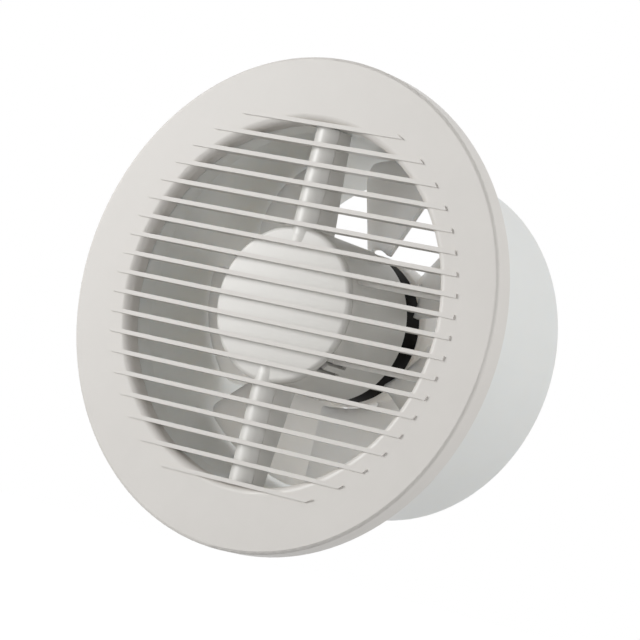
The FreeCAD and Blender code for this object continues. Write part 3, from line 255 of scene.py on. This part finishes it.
zinc = metal("zinc_plate", (0.62, 0.61, 0.56, 1), (0.5, 0.5, 0.47, 1), roughness=0.35, scale=700.0)
up = (0, 0, 1)
down = (0, 0, -1)
screws_low, screws_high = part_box("carrier_screws")
screw_top = screws_high[2]
screw_level = (screws_low[1] + screws_high[1]) / 2
screw_axis = (0, screw_level, 0)
head_sides = 32
head_radius = (screws_high[0] - screws_low[0]) / 2
head_land = 0.00012
head_crown = 0.00005
head_cone = 0.00095
shank_radius = 0.00098
thread_turns = 8
thread_pitch = 0.0007
thread_core = 0.76
point_length = 0.0006
point_share = 0.2
recess_length = 0.0025
recess_width = 0.0006
recess_depth = 0.0008
recess_taper = 0.45

screw = start(bpy.ops.mesh.primitive_cylinder_add, vertices=head_sides, radius=head_radius,
              depth=head_land, location=(0, screw_level, screw_top - head_crown - head_land / 2))
pick(screw, up)
bpy.ops.mesh.inset(thickness=head_land)
bpy.ops.transform.translate(value=(0, 0, head_crown))
pick(screw, down)
draw_out((0, 0, -head_cone), shank_radius / head_radius, screw_axis)
for turn in range(thread_turns):
    draw_out((0, 0, -thread_pitch / 2), thread_core, screw_axis)
    draw_out((0, 0, -thread_pitch / 2), 1 / thread_core, screw_axis)
draw_out((0, 0, -point_length), point_share, screw_axis)
for length, width in ((recess_length, recess_width), (recess_width, recess_length)):
    bit = start(bpy.ops.mesh.primitive_cube_add, size=1, location=(0, screw_level, screw_top),
                scale=(length, width, recess_depth * 2))
    pick(bit, down)
    bpy.ops.transform.resize(value=(recess_taper, recess_taper, 1), center_override=screw_axis)
    carve(screw, bit)
bpy.ops.object.select_all(action="DESELECT")
screw.select_set(True)
bpy.ops.object.duplicate()
bpy.ops.object.mode_set(mode="EDIT")
bpy.ops.mesh.select_all(action="SELECT")
bpy.ops.transform.rotate(value=pi, orient_axis="Y", center_override=(0, 0, 0))
bpy.ops.object.mode_set(mode="OBJECT")
screw.select_set(True)
bpy.context.view_layer.objects.active = screw
bpy.ops.object.join()
settle(screw, "arm_screws", zinc, "housing", "carrier_screws")


# The motor
# A shaded-pole motor: laminated stator with enamelled copper on nylon bobbins, two die-cast brackets
# with sintered bronze bearings, a laminated rotor with cast end rings on a ground shaft, and long
# screws.

sheet_scale = 630.0
sheet_waver = 0.6
sheet_share = 0.4
sheet_depth = 0.4
sheet_height = 0.00008
stain_scale = 160.0
stain_share = 0.6
stain_sheen = 0.2
sheet_roughness = 0.36


def laminated(name, pale, deep):
    """Varnished sheet steel, stacked along the shaft."""
    material, tree, place = new_finish(name)
    sheets = tree.add("ShaderNodeTexWave", {"Vector": place, "Scale": sheet_scale,
                                            "Distortion": sheet_waver, "Detail": 1.0},
                      bands_direction="Y")
    stain = noise(tree, place, stain_scale, detail=3.0)
    surface(tree, {
        "Base Color": blended(tree, pale, deep, sheets * sheet_share + stain * stain_share),
        "Metallic": 1.0,
        "Roughness": sheet_roughness + stain * stain_sheen,
        "Normal": relief(tree, sheet_depth, sheet_height, sheets),
    })
    return material


lamination_steel = laminated("lamination_steel", (0.2, 0.2, 0.21, 1), (0.1, 0.1, 0.11, 1))
enamelled_copper = metal("enamelled_copper", (0.72, 0.3, 0.12, 1), (0.45, 0.16, 0.06, 1),
                         roughness=0.3, scale=1400.0)
nylon_natural = moulded("nylon_natural", (0.68, 0.65, 0.56, 1), (0.62, 0.59, 0.5, 1), roughness=0.5)
die_cast = metal("die_cast", (0.6, 0.6, 0.61, 1), (0.5, 0.5, 0.51, 1), roughness=0.48, scale=500.0)
bearing_bronze = metal("bearing_bronze", (0.55, 0.36, 0.16, 1), (0.4, 0.25, 0.1, 1),
                       roughness=0.42, scale=1500.0)
ground_steel = metal("ground_steel", (0.62, 0.62, 0.62, 1), (0.52, 0.52, 0.53, 1),
                     roughness=0.22, scale=900.0, stretch=(0.3, 6, 0.3))
rubber_black = moulded("rubber_black", (0.02, 0.02, 0.02, 1), (0.014, 0.014, 0.014, 1),
                       roughness=0.75, grain=0.2, gloss=0.3)
dress(lamination_steel, "stator_core", "rotor_core")
dress(enamelled_copper, "coil_windings", "shading_rings")
dress(nylon_natural, "coil_bobbins", "thrust_spacers")
dress(die_cast, "front_bracket", "rear_bracket", "rotor_end_rings")
dress(bearing_bronze, "front_bearing", "rear_bearing")
dress(ground_steel, "shaft")
dress(zinc, "motor_screws")
dress(rubber_black, "motor_dampers")


# The motor shield
# A matt black nylon cap that closes the cup at the rear, round the shaft. Its skirt plugs into the
# cup, and its wall shows as the black band behind it, coloured darker than black nylon to paint the
# deep shade of the gap between cup and impeller.

# Partly painted shade: black nylon, but darker than any real black, so the cap paints the shade in
# the gap.
shield_black = moulded("shield_black", (0.006, 0.005, 0.004, 1), (0.004, 0.003, 0.002, 1),
                       roughness=0.6, grain=0.12, gloss=0.05)
dress(shield_black, "motor_shield")


# The impeller
# Hub and pitched blades moulded in one from pale, slightly translucent polypropylene, pushed on the
# shaft behind the motor.

# Partly painted light: the polypropylene's own pale tone is raised further, so the blades deep in
# the tube look lit.
impeller_pale_painted_lighter = moulded("impeller_pale_painted_lighter", (0.93, 0.895, 0.845, 1), (0.91, 0.875, 0.825, 1),
                        roughness=0.4, milky=1.0, reach=0.014)
dress(impeller_pale_painted_lighter, "impeller")


# The impeller nut
# A zinc-plated hexagon nut, chamfered on both faces and countersunk at its bore, that holds the
# impeller on the end of the shaft.

nut_low, nut_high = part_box("impeller_nut")
nut_middle = (nut_low[1] + nut_high[1]) / 2
nut_length = nut_high[1] - nut_low[1]
nut_centre = (0, nut_middle, 0)
nut_sides = 6
nut_flat = nut_high[0]
nut_corner = nut_high[2]
nut_chamfer = 0.00042
chamfer_sides = 64
chamfer_radius = nut_corner * 1.01
chamfer_end = nut_flat * 0.96
bore_sides = 48
bore_radius = 0.00253
bore_sink = 0.0003
overrun = 0.00002
lying = (pi / 2, 0, 0)


def flared_rod(sides, radius, length, end, end_radius):
    """A rod along the fan axis whose two ends widen or narrow, to trim the nut with."""
    rod = start(bpy.ops.mesh.primitive_cylinder_add, vertices=sides, radius=radius,
                depth=length - end * 2, location=nut_centre, rotation=lying)
    for way in (-1, 1):
        pick(rod, (0, way, 0))
        draw_out((0, way * (end + overrun), 0), end_radius / radius, nut_centre)
    return rod


nut = start(bpy.ops.mesh.primitive_cylinder_add, vertices=nut_sides, radius=nut_corner,
            depth=nut_length, location=nut_centre, rotation=lying)
carve(nut, flared_rod(chamfer_sides, chamfer_radius, nut_length, nut_chamfer, chamfer_end),
      "INTERSECT")
carve(nut, flared_rod(bore_sides, bore_radius, nut_length, bore_sink, bore_radius + bore_sink))
settle(nut, "hexagon_nut", zinc, "rotor", "impeller_nut")


# The wiring
# A screw terminal strip of natural nylon on the divider of the cup, black leads to the motor, and a
# rubber grommet in the cable entry.

lead_insulation = moulded("lead_insulation", (0.03, 0.03, 0.035, 1), (0.02, 0.02, 0.024, 1),
                          roughness=0.5, grain=0.1)
dress(nylon_natural, "terminal_block")
dress(zinc, "terminal_screws", "block_screws")
dress(lead_insulation, "motor_leads")
dress(rubber_black, "cable_grommet")


# The hub cap
# A second white moulding, a shallow dome with a half-round lid for each arm. Its skirt plugs into
# the cup, and the lids close the hollow arms.

# Painted shade: the cap's white is darker than the carrier's, so the dome that faces the key lamp
# reads less bright.
cap_white_painted_darker = moulded("cap_white_painted_darker", (0.74, 0.73, 0.7, 1), (0.72, 0.71, 0.68, 1), roughness=0.36)
dress(cap_white_painted_darker, "hub_cap")


# The slatted front cover
# One injection-moulded plate of white styrene with a skirt, a rolled opening and slats. It snaps
# over the rim of the wall flange and pulls off for cleaning.

cover_white = moulded("cover_white", (0.715, 0.69, 0.655, 1), (0.695, 0.67, 0.635, 1),
                      roughness=0.42)
dress(cover_white, "front_cover")


# The studio
# A pale floor well below the fan, a white surround that is brighter behind and above, soft lamps,
# and the camera where the photograph was taken from.

floor_level = -0.26
floor_size = 12.0
floor_grey = (0.5, 0.5, 0.5, 1)
floor_glow = 1.55
glow_share = 0.6
studio_white = (1, 1, 1, 1)
bright_way = (0, 0.85, 0.53)
dim_facing, dim_glow = -0.4, 0.02
bright_facing, bright_glow = 0.8, 0.95
lamp_width = 1.2

bpy.ops.object.select_all(action="DESELECT")
bpy.ops.mesh.primitive_plane_add(size=floor_size, location=(0, 0, floor_level))
floor = bpy.context.object
floor.name = "floor"
floor_paint, floor_tree, floor_place = new_finish("floor_paint")


def seen_white(tree):
    """One for rays from the camera, straight or by a mirror or glass: they see the studio white."""
    seen = tree.add("ShaderNodeLightPath", out="Is Camera Ray")
    mirrored = tree.add("ShaderNodeLightPath", out="Is Glossy Ray")
    refracted = tree.add("ShaderNodeLightPath", out="Is Transmission Ray")
    return tree.sum("MAXIMUM", seen, tree.sum("MAXIMUM", mirrored, refracted))


paint = floor_tree.add("ShaderNodeBsdfDiffuse", {"Color": floor_grey})
white = floor_tree.add("ShaderNodeEmission", {"Color": studio_white, "Strength": floor_glow})
mixed = floor_tree.add("ShaderNodeMixShader",
                       {0: seen_white(floor_tree) * glow_share, 1: paint, 2: white})
floor_tree.add("ShaderNodeOutputMaterial", {"Surface": mixed})
floor.data.materials.append(floor_paint)

world = bpy.data.worlds.new("surround")
bpy.context.scene.world = world
world.use_nodes = True
world.node_tree.nodes.clear()
sky = Shade(world.node_tree)
direction = sky.add("ShaderNodeTexCoord", out="Generated")
facing = sky.add("ShaderNodeVectorMath", {0: direction, 1: bright_way}, out="Value",
                 operation="DOT_PRODUCT")
glow = sky.add("ShaderNodeMapRange", {"Value": facing, "From Min": dim_facing, "To Min": dim_glow,
                                      "From Max": bright_facing, "To Max": bright_glow})
strength = sky.sum("MAXIMUM", seen_white(sky), glow)
back = sky.add("ShaderNodeBackground", {"Color": studio_white, "Strength": strength})
sky.add("ShaderNodeOutputWorld", {"Surface": back})


def soft_box(name, place, power):
    """A square studio lamp that looks at the fan."""
    lamp = bpy.data.lights.new(name, "AREA")
    lamp.size = lamp_width
    lamp.energy = power
    box = bpy.data.objects.new(name, lamp)
    bpy.context.scene.collection.objects.link(box)
    turn = (-Vector(place)).to_track_quat("-Z", "Y").to_matrix().to_4x4()
    box.matrix_world = Matrix.Translation(place) @ turn


soft_box("key_lamp", (-2.2, -1.8, 0.6), power=56.5)
soft_box("fill_lamp", (1.5, -1.3, 0.0), power=9.0)
soft_box("side_lamp", (2.0, 0.15, 0.25), power=10.5)

camera_data = bpy.data.cameras.new("camera")
camera_data.sensor_width = 36.0
camera_data.lens = 175.33
camera = bpy.data.objects.new("camera", camera_data)
bpy.context.scene.collection.objects.link(camera)
camera.matrix_world = Matrix((
    (0.80438, -0.16814, 0.56984, 0.7155),
    (0.54194, -0.18544, -0.81971, -1.0072),
    (0.24350, 0.96818, -0.05804, -0.0740),
    (0, 0, 0, 1),
))
bpy.context.scene.camera = camera
bpy.context.scene.view_settings.view_transform = "Standard"
